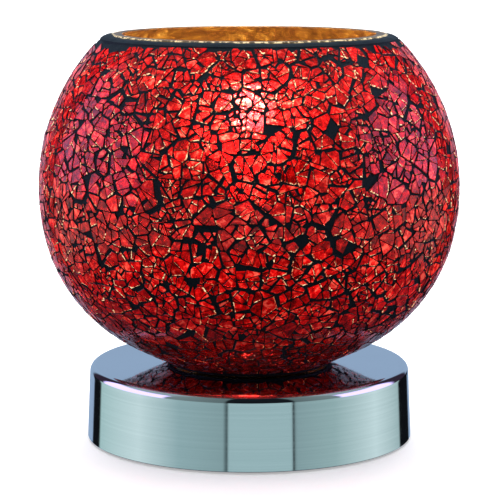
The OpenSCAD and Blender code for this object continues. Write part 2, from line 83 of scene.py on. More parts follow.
def on_globe(way, inset):
    """Point and outward normal where a ray from the belt's centre meets the globe, inset in its surface."""
    across = math.hypot(way.x, way.y)
    angle = math.atan2(way.z, across)
    c, s = math.cos(angle), math.sin(angle)
    if angle >= -TUCK_ANGLE:
        reach, nr, nz = GLOBE_R - inset, c, s
    else:
        radius = TUCK_R - inset
        b = ARC_R * c + ARC_Z * s
        reach = b + math.sqrt(b * b - ARC_R ** 2 - ARC_Z ** 2 + radius ** 2)
        nr, nz = (reach * c - ARC_R) / radius, (reach * s - ARC_Z) / radius
        if nz < -math.sin(FOOT_ANGLE):
            nr, nz = math.cos(FOOT_ANGLE), -math.sin(FOOT_ANGLE)
            reach = (nr * ARC_R + nz * ARC_Z + radius) / (nr * c + nz * s)
    side = Vector((way.x, way.y, 0)) / across
    return BELT + side * (reach * c) + Vector((0, 0, reach * s)), side * nr + Vector((0, 0, nz))


def level_angle(z):
    """How far above the belt, seen from its centre, the globe's surface reaches level z."""
    low, high = -math.radians(80), math.radians(80)
    for _ in range(40):
        middle = (low + high) / 2
        if on_globe(Vector((math.cos(middle), 0, math.sin(middle))), 0)[0].z < z:
            low = middle
        else:
            high = middle
    return low


def across(z, inset):
    """The globe's radius at level z, above its belt, inset inside its surface."""
    return math.sqrt((GLOBE_R - inset) ** 2 - (z - BELT_Z) ** 2)


def globe_outline(inset, z_high, z_low, steps):
    """[radius, height] points down the globe, inset inside its surface."""
    top, low = level_angle(z_high), level_angle(z_low)
    points = []
    for i in range(steps + 1):
        angle = top + (low - top) * i / steps
        p, _ = on_globe(Vector((math.cos(angle), 0, math.sin(angle))), inset)
        points.append((p.x, p.z))
    return points


# ---------- meshes ----------

SHARP_ANGLE = math.radians(30)
MERGE_DISTANCE = 0.0001 * MM


def mesh_object(name, verts, faces, materials, face_slots=None):
    mesh = bpy.data.meshes.new(name)
    mesh.from_pydata([tuple(v) for v in verts], [], faces)
    for material in materials:
        mesh.materials.append(material)
    if face_slots:
        mesh.polygons.foreach_set("material_index", face_slots)
    mesh.update()
    piece = bpy.data.objects.new(name, mesh)
    bpy.context.scene.collection.objects.link(piece)
    return piece


def smooth(piece):
    """Shades the piece smooth, apart from its sharp edges."""
    piece.data.polygons.foreach_set("use_smooth", [True] * len(piece.data.polygons))
    piece.data.set_sharp_from_angle(angle=SHARP_ANGLE)
    return piece


def lathe(name, outline, material, segments=192, wobble=None):
    """A closed outline of (radius, height) turned round the axis. wobble(angle, r, z) may move a point."""
    verts, faces = [], []
    count = len(outline)
    for i in range(segments):
        angle = TURN * i / segments
        for r, z in outline:
            if wobble:
                r, z = wobble(angle, r, z)
            verts.append((r * math.cos(angle), r * math.sin(angle), z))
    for i in range(segments):
        a, b = i * count, (i + 1) % segments * count
        for k in range(count):
            n = (k + 1) % count
            faces.append((a + k, b + k, b + n, a + n))
    piece = mesh_object(name, verts, faces, [material])
    tidy_mesh(piece)
    return smooth(piece)


def tidy_mesh(piece):
    """Merges doubled points, drops faces with no area and turns every face outwards."""
    bm = bmesh.new()
    bm.from_mesh(piece.data)
    bmesh.ops.remove_doubles(bm, verts=bm.verts, dist=MERGE_DISTANCE)
    bmesh.ops.dissolve_degenerate(bm, edges=bm.edges, dist=MERGE_DISTANCE)
    bmesh.ops.recalc_face_normals(bm, faces=bm.faces)
    bm.to_mesh(piece.data)
    bm.free()


def arc(cr, cz, radius, start, end, steps):
    """Points of an arc in the (radius, height) plane, its angles in degrees."""
    angles = [math.radians(start + (end - start) * i / steps) for i in range(steps + 1)]
    return [(cr + radius * math.cos(a), cz + radius * math.sin(a)) for a in angles]


# ---------- materials ----------

class NodeTree:
    """Short calls that add nodes to a material's or the world's node tree."""

    def __init__(self, owner):
        owner.use_nodes = True
        self.nodes = owner.node_tree.nodes
        self.links = owner.node_tree.links

    def feed(self, socket, value):
        if isinstance(value, bpy.types.NodeSocket):
            self.links.new(value, socket)
        elif isinstance(value, tuple) and len(value) == 3 and socket.type == "RGBA":
            socket.default_value = (*value, 1)
        else:
            socket.default_value = value

    def node(self, kind, inputs=(), **settings):
        made = self.nodes.new("ShaderNode" + kind)
        for key, value in settings.items():
            setattr(made, key, value)
        for index, value in dict(inputs).items():
            self.feed(made.inputs[index], value)
        return made

    def ramp(self, source, stops):
        made = self.node("ValToRGB", {"Fac": source})
        elements = made.color_ramp.elements
        while len(elements) < len(stops):
            elements.new(1.0)
        for element, (position, colour) in zip(elements, stops):
            element.position = position
            element.color = (*colour, 1)
        return made.outputs["Color"]

    def maths(self, operation, *values, clamp=False):
        return self.node("Math", dict(enumerate(values)), operation=operation, use_clamp=clamp).outputs[0]

    def mix(self, factor, a, b):
        """Colours a and b, blended by factor. Sockets 0, 6 and 7 are the ones that the colour mode uses."""
        return self.node("Mix", {0: factor, 6: a, 7: b}, data_type="RGBA").outputs[2]

    def span(self, source, low, high, to_low=0.0, to_high=1.0):
        return self.node("MapRange", {
            "Value": source, "From Min": low, "From Max": high, "To Min": to_low, "To Max": to_high,
        }).outputs["Result"]


class Look(NodeTree):
    """A node material round one Principled shader."""

    def __init__(self, name, **values):
        self.material = bpy.data.materials.new(name)
        super().__init__(self.material)
        self.shader = self.nodes["Principled BSDF"]
        self.set(**values)

    def set(self, **values):
        for key, value in values.items():
            self.feed(self.shader.inputs[key.replace("_", " ")], value)

    def place(self):
        return self.node("TexCoord").outputs["Object"]

    def height(self):
        return self.node("SeparateXYZ", {"Vector": self.place()}).outputs["Z"]

    def stretched(self, x, y, z):
        return self.node("Mapping", {"Vector": self.place(), "Scale": (x, y, z)}).outputs["Vector"]

    def noise(self, scale, detail=3.0, roughness=0.55, distortion=0.0, vector=None):
        return self.node("TexNoise", {
            "Vector": vector or self.place(), "Scale": scale, "Detail": detail,
            "Roughness": roughness, "Distortion": distortion,
        }).outputs["Fac"]

    def crackle(self, scale):
        return self.node("TexVoronoi", {
            "Vector": self.place(), "Scale": scale,
        }, feature="DISTANCE_TO_EDGE").outputs["Distance"]

    def bump(self, height, distance, strength=1.0):
        made = self.node("Bump", {"Height": height, "Distance": distance, "Strength": strength})
        return made.outputs["Normal"]


def chip_parts(look):
    """Each chip's own tone, its painted bulb glow and the painted glint of each of its edges, stored in the
    mesh's colours.
    """
    painted = look.node("VertexColor", layer_name="chip").outputs["Color"]
    parts = look.node("SeparateColor", {"Color": painted})
    return parts.outputs["Red"], parts.outputs["Green"], parts.outputs["Blue"]


def chip_face_look():
    """Streaky red glass, clear enough for the bulb to show through, with a sharp gloss on top. Most of its
    glow is painted light: emission set by each chip's painted bulb glow.
    """
    look = Look("red_chip_glass", Roughness=0.2, IOR=1.45, Specular_IOR_Level=0.1, Coat_Weight=0.35,
                Coat_Roughness=0.03, Transmission_Weight=0.5)
    tone, glow, _ = chip_parts(look)
    mottle = look.noise(380, detail=5, roughness=0.68, distortion=0.6)
    flecks = look.span(look.noise(1100, detail=3, roughness=0.7), 0.60, 0.74)
    streaks = look.span(mottle, 0.34, 0.66, -0.25, 0.75)
    shade = look.maths("ADD", look.maths("MULTIPLY", tone, 0.45), streaks, clamp=True)
    body = look.ramp(shade, [(0.0, (0.12, 0.0001, 0.0003)), (0.45, (0.40, 0.0002, 0.0004)),
                             (0.75, (0.72, 0.001, 0.001)), (1.0, (0.92, 0.07, 0.06))])
    # Painted glow: this emission colour and strength stand in for the bulb's light coming through the glass.
    light = look.ramp(shade, [(0.1, (0.50, 0.0, 0.0)), (0.65, (0.85, 0.004, 0.004)),
                              (1.0, (1.0, 0.12, 0.07))])
    strength = look.maths("MULTIPLY", glow, look.span(shade, 0.0, 0.9, 0.25, 1.55))
    # The flecks lighten the glass's own colour and also add a little painted glow as emission.
    strength = look.maths("ADD", strength, look.maths("MULTIPLY", flecks, 0.1))
    look.set(Base_Color=look.mix(look.maths("MULTIPLY", flecks, 0.35), body, (0.95, 0.16, 0.14)),
             Emission_Color=light, Emission_Strength=strength,
             Normal=look.bump(mottle, 0.22 * MM, 0.55))
    return look.material


def chip_edge_look():
    """Fracture faces: most are dark, and some carry a painted gold glint, in base colour and emission."""
    look = Look("chip_fracture", Roughness=0.3, IOR=1.45)
    _, _, glint = chip_parts(look)
    # Painted glint: the gold ramp below goes into both the base colour and the emission, in broken runs
    # along the edges.
    broken = look.span(look.noise(1300, detail=3, roughness=0.7), 0.42, 0.60, 0.1, 1.25)
    shine = look.maths("MULTIPLY", glint, broken)
    colour = look.ramp(shine, [(0.0, (0.07, 0.001, 0.002)), (0.2, (0.5, 0.004, 0.004)),
                               (0.42, (1.0, 0.05, 0.03)), (0.58, (1.0, 0.34, 0.11)),
                               (0.8, (1.0, 0.80, 0.44))])
    look.set(Base_Color=colour, Emission_Color=colour,
             Emission_Strength=look.maths("MULTIPLY", shine, 0.95))
    return look.material


def chip_back_look():
    """Smooth undersides, bonded to the amber glass."""
    look = Look("chip_back", Roughness=0.05, IOR=1.45, Transmission_Weight=1.0)
    tint = look.noise(300, detail=2)
    look.set(Base_Color=look.ramp(tint, [(0.3, (0.95, 0.26, 0.24)), (0.7, (1.0, 0.38, 0.36))]))
    return look.material


def grout_look():
    look = Look("blue_black_grout", Roughness=0.65, Specular_IOR_Level=0.15)
    grain = look.noise(1500, detail=4)
    tint = look.noise(70, detail=2)
    colour = look.ramp(look.mix(0.4, tint, grain), [
        (0.35, (0.008, 0.014, 0.020)), (0.6, (0.014, 0.023, 0.031)), (0.8, (0.022, 0.032, 0.044))])
    look.set(Base_Color=colour,
             Normal=look.bump(grain, 0.12 * MM, 0.7))
    return look.material


def amber_glass_look():
    """Gold-stained glass, cloudy and crazed, half clear below the mouth. Its cut edge has a painted glow in
    dashes, as emission.
    """
    look = Look("amber_glass", Roughness=0.35, IOR=1.45, Specular_IOR_Level=0.3)
    place = look.node("SeparateXYZ", {"Vector": look.place()})
    height = place.outputs["Z"]
    x_squared = look.maths("POWER", place.outputs["X"], 2.0)
    y_squared = look.maths("POWER", place.outputs["Y"], 2.0)
    radius = look.maths("SQRT", look.maths("ADD", x_squared, y_squared))
    # Painted glow: a cream emission in dashes along the outer top of the cut edge.
    lip = across(GLASS_TOP, GLASS_OUT)
    outside = look.span(radius, lip - 1.0 * MM, lip - 0.4 * MM, 0.12, 1.0)
    dashes = look.span(look.noise(700, detail=2), 0.44, 0.58, 0.12, 1.2)
    top = look.span(height, GLASS_TOP - 0.6 * MM, GLASS_TOP - 0.3 * MM)
    edge = look.maths("MULTIPLY", top, look.maths("MULTIPLY", outside, dashes))
    cracks = look.span(look.crackle(330), 0.0, 0.07, 0.45, 1.0)
    cloud = look.noise(210, detail=6, roughness=0.7, distortion=0.8)
    gold = look.ramp(cloud, [(0.34, (0.010, 0.003, 0.0004)), (0.46, (0.028, 0.010, 0.0008)),
                             (0.56, (0.050, 0.020, 0.0015)), (0.64, (0.10, 0.055, 0.008)),
                             (0.76, (0.26, 0.18, 0.06))])
    look.set(Base_Color=look.mix(cracks, (0.035, 0.010, 0.002), gold),
             Alpha=look.span(height, GLASS_TOP - 14 * MM, GLASS_TOP - 6 * MM, 0.4, 1.0),
             Emission_Color=(1.0, 0.80, 0.46), Emission_Strength=edge,
             Normal=look.bump(cloud, 0.3 * MM, 0.5))
    return look.material


def chrome_look():
    """Bright plate over a turned wall: fine level streaks only blur it a little."""
    look = Look("chrome_plate", Metallic=1.0)
    streaks = look.noise(1.0, detail=4, roughness=0.6, vector=look.stretched(9, 9, 1500))
    smudge = look.noise(28, detail=3)
    look.set(Base_Color=look.ramp(streaks, [(0.3, (0.78, 0.82, 0.84)), (0.7, (0.86, 0.89, 0.91))]),
             Roughness=look.maths("ADD", look.span(streaks, 0.3, 0.7, 0.035, 0.075),
                                  look.span(smudge, 0.4, 0.8, 0.0, 0.02)),
             Normal=look.bump(streaks, 0.002 * MM, 0.08))
    return look.material


def metal_look(name, colour, roughness, scale=900, dirt=0.25):
    look = Look(name, Metallic=1.0)
    grain = look.noise(scale, detail=4)
    dark = tuple(c * (1 - dirt) for c in colour)
    look.set(Base_Color=look.mix(look.span(grain, 0.35, 0.7), dark, colour),
             Roughness=look.span(grain, 0.3, 0.7, roughness * 0.8, roughness * 1.25),
             Normal=look.bump(grain, 0.03 * MM, 0.4))
    return look.material


def moulded_look(name, colour, roughness=0.45, scale=1100, variation=0.12):
    look = Look(name, IOR=1.5)
    grain = look.noise(scale, detail=3)
    cloud = look.noise(60, detail=2)
    low = tuple(c * (1 - variation) for c in colour)
    high = tuple(min(1.0, c * (1 + variation)) for c in colour)
    look.set(Base_Color=look.mix(look.span(cloud, 0.35, 0.65), low, high),
             Roughness=look.span(grain, 0.3, 0.7, roughness * 0.85, roughness * 1.15),
             Normal=look.bump(grain, 0.03 * MM, 0.5))
    return look.material


def bulb_glass_look():
    """Frosted envelope, warm and bright all over when lit."""
    look = Look("lit_frosted_glass", Roughness=0.35, IOR=1.45, Alpha=0.2, Base_Color=(1.0, 0.95, 0.86))
    frost = look.noise(700, detail=2)
    body = look.span(look.height(), BULB_LOW.z, BULB_Z, 0.15, 1.0)
    look.set(Emission_Color=(1.0, 0.72, 0.42),
             Emission_Strength=look.maths("MULTIPLY", body, look.span(frost, 0.3, 0.7, 0.7, 1.0)))
    return look.material


# ---------- mosaic ----------

CHIP_SEED = 7
RIM_ANGLE = level_angle(CHIPS_TOP)
FACE, EDGE, BACK = 0, 1, 2                          # material slots of the chips
SAME_CORNER = 0.05 * MM                             # corners closer than this are one
SMALLEST_CHIP = 0.5 * MM * MM
SMALLEST_SHARD, SHARD_SPREAD = 4.2 * MM, 4.6 * MM   # across, before the shards are cracked into chips
DARTS = 26000                                       # tries at placing a shard
GRID_CELL = 11 * MM                                 # no two shards further apart than this can touch
STEPS = (-1, 0, 1)


def facing(angle, around):
    """The direction at an angle above the belt, and at a turn round the axis."""
    return Vector((math.cos(angle) * math.cos(around), math.cos(angle) * math.sin(around), math.sin(angle)))


def shard_centres(draw, top, low):
    """Directions of the shards' middles, thrown no closer than their sizes, coarse here and fine there."""
    grid, cell, kept = {}, GRID_CELL / GLOBE_R, []
    for _ in range(DARTS):
        way = facing(math.asin(draw.uniform(math.sin(low), math.sin(top))), draw.uniform(0, TURN))
        patch = noise.noise(way * 4.0)
        size = (SMALLEST_SHARD + SHARD_SPREAD * draw.random() ** 1.2) * (1.0 + 0.3 * patch) / GLOBE_R
        key = tuple(math.floor(c / cell) for c in way)
        near = [shard for i in STEPS for j in STEPS for k in STEPS
                for shard in grid.get((key[0] + i, key[1] + j, key[2] + k), ())]
        if all((way - other).length > (size + other_size) / 2 for other, other_size in near):
            grid.setdefault(key, []).append((way, size))
            kept.append(way)
    return kept


def mirrored(ways, edge, within):
    """Copies of the directions near an edge level, mirrored across it, so that cells end on that level."""
    copies = []
    for way in ways:
        angle = math.asin(way.z)
        if abs(angle - edge) < within:
            copies.append(facing(2 * edge - angle, math.atan2(way.y, way.x)))
    return copies


def voronoi_cells(ways, guards):
    """For each direction, the corner directions of its cell, each with a number that neighbours share."""
    bm = bmesh.new()
    verts = [bm.verts.new(way) for way in ways + guards]
    bm.verts.index_update()
    bmesh.ops.convex_hull(bm, input=verts)
    bm.faces.index_update()
    corner = {f.index: (f.normal if f.normal.dot(f.calc_center_median()) > 0 else -f.normal).normalized()
              for f in bm.faces}
    cells = []
    for vert in verts[:len(ways)]:
        way = vert.co.normalized()
        u = way.orthogonal().normalized()
        v = way.cross(u)
        ids = [f.index for f in vert.link_faces]
        ids.sort(key=lambda i: math.atan2((corner[i] - way).dot(v), (corner[i] - way).dot(u)))
        cells.append([(i, corner[i].copy()) for i in ids])
    bm.free()
    return cells


def between(pair, t):
    return pair[0] + (pair[1] - pair[0]) * t


def cut(loop, point, normal, width):
    """The part of a convex loop behind a line. A loop holds (corner, grout gaps at its next side's ends)."""
    kept = []
    for i, (a, gap) in enumerate(loop):
        b = loop[(i + 1) % len(loop)][0]
        da, db = (a - point).dot(normal), (b - point).dot(normal)
        crosses = (da < 0) != (db < 0) and abs(da - db) > 1e-12
        t = da / (da - db) if crosses else 0
        if da < 0:
            kept.append((a, (gap[0], between(gap, t)) if crosses else gap))
            if crosses:
                kept.append((a.lerp(b, t), (width, width)))
        elif crosses:
            kept.append((a.lerp(b, t), (between(gap, t), gap[1])))
    return kept


def area(points):
    return 0.5 * sum(a.x * b.y - b.x * a.y for a, b in zip(points, points[1:] + points[:1]))


def turned(vector, angle):
    c, s = math.cos(angle), math.sin(angle)
    return Vector((vector.x * c - vector.y * s, vector.x * s + vector.y * c))


def cracked(loop, draw, wish):
    """A shard cracked by straight breaks into chips of about the wished area."""
    points = [p for p, _ in loop]
    if len(loop) < 3 or area(points) < wish * 1.45:
        return [loop]
    middle = sum(points, Vector((0, 0))) / len(points)
    furthest = max((p - middle for p in points), key=lambda d: d.length)
    normal = turned(furthest.normalized(), draw.gauss(0, 0.55))
    point = middle + normal * draw.uniform(-0.42, 0.42) * furthest.length
    width = (draw.uniform(0.45, 0.9) if draw.random() < 0.14 else draw.uniform(0.12, 0.30)) * MM
    halves = [cut(loop, point, normal, width), cut(loop, point, -normal, width)]
    pieces = []
    for half in halves:
        pieces += cracked(half, draw, wish * draw.uniform(0.6, 1.6))
    return pieces


def shrunk(loop):
    """The chip's outline: each side moves in by half its grout gap, which may differ at its two ends."""
    outline = loop
    for i, (a, gap) in enumerate(loop):
        b = loop[(i + 1) % len(loop)][0]
        along = b - a
        if along.length < 1e-7:
            continue
        out = Vector((along.y, -along.x)).normalized()
        a_in, b_in = a - out * gap[0] / 2, b - out * gap[1] / 2
        line = (b_in - a_in).normalized()
        outline = cut(outline, a_in, Vector((line.y, -line.x)), 0)
        if len(outline) < 3:
            return []
    return [p for p, _ in outline]


def chipped(points, draw):
    """Knocks one to three corners off an outline, and merges corners that are too close to matter."""
    loop = [(p, (0, 0)) for p in points]
    middle = sum(points, Vector((0, 0))) / len(points)
    for _ in range(draw.choice((1, 2, 2, 3))):
        p = draw.choice(points)
        out = turned((p - middle).normalized(), draw.gauss(0, 0.35))
        loop = cut(loop, p - out * min(draw.uniform(0.2, 0.9) * MM, 0.3 * (p - middle).length), out, 0)
    kept = [loop[0][0]] if loop else []
    for p, _ in loop[1:]:
        if (p - kept[-1]).length > SAME_CORNER:
            kept.append(p)
    if len(kept) > 2 and (kept[0] - kept[-1]).length <= SAME_CORNER:
        kept.pop()
    return kept if len(kept) > 2 and area(kept) > SMALLEST_CHIP else []


def side_gap(middle, draw):
    """Grout widths at the two ends of a side between two shards: hair cracks here, open channels there."""
    patch = noise.noise(middle * 7.0 + Vector((3.1, 0, 0))) + 0.6 * noise.noise(middle * 16)
    wide = draw.random() < 0.46 + 0.9 * patch
    if wide:
        base = draw.uniform(0.36, 0.8) + max(0.0, patch) * draw.uniform(0.3, 2.0)
    else:
        base = draw.uniform(0.15, 0.36)
    return base * draw.uniform(0.3, 1.5) * MM, base * draw.uniform(0.3, 1.5) * MM


class Skin:
    """Points and faces of one mesh being filled in."""

    def __init__(self):
        self.verts, self.faces, self.slots, self.paint = [], [], [], []

    def ring(self, points):
        start = len(self.verts)
        self.verts += points
        return list(range(start, start + len(points)))

    def face(self, ids, slot=FACE, paint=None):
        self.faces.append(ids)
        self.slots.append(slot)
        self.paint.append(paint)


def strip(skin, outer, inner, middle_out, middle_in, flip):
    """Joins two nested convex loops by triangles, going round both in step."""
    a_turn = [math.atan2(p.y, p.x) for p in middle_out]
    b_turn = [math.atan2(p.y, p.x) for p in middle_in]
    a0 = min(range(len(outer)), key=lambda i: a_turn[i])
    b0 = min(range(len(inner)), key=lambda i: b_turn[i])
    a_order = [(a0 + i) % len(outer) for i in range(len(outer))]
    b_order = [(b0 + i) % len(inner) for i in range(len(inner))]
    i = j = 0
    while i < len(outer) or j < len(inner):
        a, a_next = a_order[i % len(outer)], a_order[(i + 1) % len(outer)]
        b, b_next = b_order[j % len(inner)], b_order[(j + 1) % len(inner)]
        a_after = a_turn[a_next] + (TURN if i + 1 >= len(outer) else 0)
        b_after = b_turn[b_next] + (TURN if j + 1 >= len(inner) else 0)
        if j >= len(inner) or (i < len(outer) and a_after <= b_after):
            ids = (outer[a], outer[a_next], inner[b])
            i += 1
        else:
            ids = (outer[a], inner[b_next], inner[b])
            j += 1
        skin.face(ids[::-1] if flip else ids)


def add_grout(skin, seat, loop, outline, recess):
    """Grout of one cell: a sunk top, walls round the chip and a bottom on the glass."""
    origin, u, v = seat
    bottom = CHIP_T + 0.02 * MM

    def lift(p, inset):
        way = (origin + u * p.x + v * p.y - BELT).normalized()
        if way.z > math.sin(RIM_ANGLE):
            way = facing(RIM_ANGLE, math.atan2(way.y, way.x))
        return on_globe(way, inset)[0]

    points = [p for p, _ in loop]
    outer_top = skin.ring([lift(p, recess) for p in points])
    outer_low = skin.ring([lift(p, bottom) for p in points])
    if not outline:
        skin.face(outer_top)
        skin.face(outer_low[::-1])
        return
    middle = sum(outline, Vector((0, 0))) / len(outline)
    inner_top = skin.ring([lift(p, recess * 0.8) for p in outline])
    inner_low = skin.ring([lift(p, bottom) for p in outline])
    from_middle = [p - middle for p in points], [p - middle for p in outline]
    strip(skin, outer_top, inner_top, *from_middle, flip=False)
    strip(skin, outer_low, inner_low, *from_middle, flip=True)
    for i in range(len(outline)):
        n = (i + 1) % len(outline)
        skin.face((inner_top[n], inner_top[i], inner_low[i], inner_low[n]))


def add_chip(skin, seat, outline, draw):
    """One closed chip: a flat top, a chamfer that is wide where its edge has a painted glint, walls and a
    bottom.
    """
    origin, u, v = seat
    middle = sum(outline, Vector((0, 0))) / len(outline)
    centre = origin + u * middle.x + v * middle.y
    surface, normal = on_globe(centre - BELT, 0)
    tilt = Matrix.Rotation(draw.gauss(0, 0.016), 3, u) @ Matrix.Rotation(draw.gauss(0, 0.016), 3, v)
    up = (tilt @ normal).normalized()
    lift = draw.uniform(-0.12, 0.03) * MM

    def at(p, depth, keep=1.0):
        flat = (u * (p.x - middle.x) + v * (p.y - middle.y)) * keep
        flat -= up * flat.dot(up)
        return surface + flat + up * (lift - depth)

    # Painted glints: the edges facing away from the bulb get a painted gold highlight.
    bulb_way = surface - Vector((0, 0, BULB_Z))
    away = bulb_way - up * bulb_way.dot(up)
    lit_way = Matrix.Rotation(draw.gauss(0, 0.8), 3, up) @ away.normalized()
    lit = Vector((lit_way.dot(u), lit_way.dot(v)))
    # Painted light: each chip's glow falls off with distance and angle from the bulb.
    falling = bulb_way.normalized().dot(normal) * (0.07 / bulb_way.length) ** 1.6
    # Painted shade: chips near the base get less glow and weaker glints, darker towards the bottom.
    below = max(0.0, min(1.0, (surface.z - BASE_TOP - 14 * MM) / (24 * MM)))
    glow = 0.74 * (0.45 + 0.55 * falling) * (0.05 + 0.95 * below) * draw.uniform(0.5, 1.4)
    tone = draw.betavariate(1.8, 1.9)
    shine = draw.random() ** 0.7 * (0.45 + 0.55 * below)
    count = len(outline)
    chamfers, glints = [], []
    for i in range(count):
        side = outline[(i + 1) % count] - outline[i]
        out = Vector((side.y, -side.x)).normalized()
        catch = max(0.0, out.dot(lit) + 0.05)
        bright = min(1.0, catch * shine * draw.uniform(0.5, 1.5))
        glints.append(bright)
        chamfers.append((0.09 + 0.46 * bright) * MM)
    reach = min((p - middle).length for p in outline)
    top = []
    for i, p in enumerate(outline):
        back = min(0.45 * reach, 0.5 * (chamfers[i] + chamfers[i - 1]) * 1.25)
        top.append(p + (middle - p).normalized() * back)
    ring_top = skin.ring([at(p, 0) for p in top])
    ring_edge = skin.ring([at(p, 0.12 * MM) for p in outline])
    ring_low = skin.ring([at(p, CHIP_T + lift, 0.975) for p in outline])
    face_paint = (tone, glow, 0.0)
    skin.face(ring_top, FACE, face_paint)
    skin.face(ring_low[::-1], BACK, face_paint)
    for i in range(count):
        n = (i + 1) % count
        chamfer = (ring_edge[i], ring_edge[n], ring_top[n], ring_top[i])
        wall = (ring_low[i], ring_low[n], ring_edge[n], ring_edge[i])
        skin.face(chamfer, EDGE, (tone, glow, glints[i]))
        skin.face(wall, EDGE, (tone, glow, glints[i] * 0.6))


def left_bare(way, draw):
    """Some places were never filled with a chip. Most lie along the rim, and above all at its two sides."""
    from_rim = (RIM_ANGLE - math.asin(max(-1.0, min(1.0, way.normalized().z)))) * GLOBE_R
    around = Vector((way.x, way.y, 0)).normalized()
    patch = max(0.0, noise.noise(around * 2.7 + Vector((0, 0, 4))))
    ragged = (0.35 + 1.8 * patch + 5.5 * max(0.0, abs(around.x) - 0.55)) * MM
    return draw.random() < (0.9 if from_rim < ragged else 0.018)


def make_mosaic():
    """Chips and the grout between them: shards fill the globe edge to edge, and most are cracked further."""
    draw = random.Random(CHIP_SEED)
    top, low = RIM_ANGLE, level_angle(CHIPS_LOW)
    ways = shard_centres(draw, top, low)
    reach = 16 * MM / GLOBE_R
    guards = mirrored(ways, top, reach) + mirrored(ways, low, reach)
    cells = voronoi_cells(ways, guards + [Vector((0, 0, 1)), Vector((0, 0, -1))])
    gaps = {}
    chips, grout = Skin(), Skin()
    for way, cell in zip(ways, cells):
        if len(cell) < 3:
            continue
        origin, normal = on_globe(way, 0)
        u = normal.orthogonal().normalized()
        v = normal.cross(u)
        loop = []
        for (number, corner), (next_number, _) in zip(cell, cell[1:] + cell[:1]):
            key = (min(number, next_number), max(number, next_number))
            if key not in gaps:
                gaps[key] = side_gap(corner, draw)
            gap = gaps[key] if number < next_number else gaps[key][::-1]
            offset = on_globe(corner, 0)[0] - origin
            loop.append((Vector((offset.dot(u), offset.dot(v))), gap))
        seat = (origin, u, v)
        for part in cracked(loop, draw, draw.uniform(4.5, 15.0) * MM * MM):
            if len(part) < 3:
                continue
            middle = sum((p for p, _ in part), Vector((0, 0))) / len(part)
            outline = shrunk(part)
            if left_bare(origin + u * middle.x + v * middle.y - BELT, draw) or len(outline) < 3:
                outline = []
            else:
                outline = chipped(outline, draw)
            add_grout(grout, seat, part, outline, draw.uniform(0.28, 0.42) * MM)
            if outline:
                add_chip(chips, seat, outline, draw)
    return chips, grout


def mosaic_piece(name, skin, materials):
    piece = mesh_object(name, skin.verts, skin.faces, materials, skin.slots)
    if skin.paint[0] is not None:
        colours = piece.data.color_attributes.new("chip", "FLOAT_COLOR", "CORNER")
        values = []
        for face, paint in zip(skin.faces, skin.paint):
            values += (*paint, 1.0) * len(face)
        colours.data.foreach_set("color", values)
    return piece


# ---------- pieces ----------

def add(piece, body, slot, *nodes):
    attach(piece, body)
    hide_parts(*nodes)
    return piece


grout_material = grout_look()
chips_skin, grout_skin = make_mosaic()
chip_looks = [chip_face_look(), chip_edge_look(), chip_back_look()]
add(mosaic_piece("mosaic_chips", chips_skin, chip_looks), "root", "red_chips", "mosaic_layer")
add(mosaic_piece("mosaic_grout", grout_skin, [grout_material]), "root", "grout", "grout_layer")


def rim_wave(angle, r, z):
    """The grout bead was smoothed by hand: it rises and leans a little on its way round, with one lump."""
    around = Vector((math.cos(angle), math.sin(angle), 0))
    rise = noise.noise(around * 2.3) * 0.25 + noise.noise(around * 9) * 0.25
    rise += noise.noise(around * 31) * 0.12
    lump = 0.6 * math.exp(-((angle - math.radians(188)) / 0.14) ** 2)
    lean = noise.noise(around * 6 + Vector((5, 0, 0))) * 0.2 + noise.noise(around * 40) * 0.08
    share = max(0.0, min(1.0, (z - CHIPS_TOP) / (GROUT_TOP - CHIPS_TOP)))
    return r + lean * share * MM, z + (rise - 0.12 + lump) * share * MM


def make_rim():
    glass_r = across(GROUT_TOP, GLASS_OUT)
    outer = [(across(CHIPS_TOP + lift, inset), CHIPS_TOP + lift)
             for lift, inset in ((-0.7 * MM, 0.5 * MM), (-0.1 * MM, 0.3 * MM), (0.35 * MM, 0.05 * MM))]
    shoulder = across(GROUT_TOP - 0.9 * MM, 0)
    crown = [(shoulder - 0.15 * MM, GROUT_TOP - 1.05 * MM), (shoulder - 0.6 * MM, GROUT_TOP - 0.75 * MM),
             (shoulder - 1.4 * MM, GROUT_TOP - 0.5 * MM), (glass_r + 0.4 * MM, GROUT_TOP - 0.34 * MM),
             (glass_r - 0.15 * MM, GROUT_TOP - 0.28 * MM)]
    back = [(across(z, GLASS_OUT), z) for z in (GROUT_TOP - 0.8 * MM, CHIPS_TOP, CHIPS_TOP - 0.7 * MM)]
    return lathe("grout_rim", outer + crown + back, grout_material, 288, rim_wave)


add(make_rim(), "root", "grout", "grout_layer")


def make_foot_bead():
    """Grout drawn down over the foot of the globe, so that a hair of the glass shows above the base."""
    foot_r, low = GLASS_FOOT_R, BASE_TOP + 0.5 * MM
    outline = [(foot_r + 0.05 * MM, low), (foot_r + 0.9 * MM, low), (foot_r + 1.5 * MM, low + 0.35 * MM)]
    for lift in (1.1, 1.7, 2.3):
        angle = level_angle(BASE_TOP + lift * MM)
        surface, _ = on_globe(facing(angle, 0), 0.25 * MM)
        outline.append((surface.x, surface.z))
    inner, _ = on_globe(facing(level_angle(BASE_TOP + 2.3 * MM), 0), CHIP_T)
    outline += [(inner.x, inner.z), (foot_r + 0.05 * MM, BASE_TOP + 1.2 * MM)]
    return lathe("grout_foot_bead", outline, grout_material, 192)


add(make_foot_bead(), "root", "grout", "grout_layer")


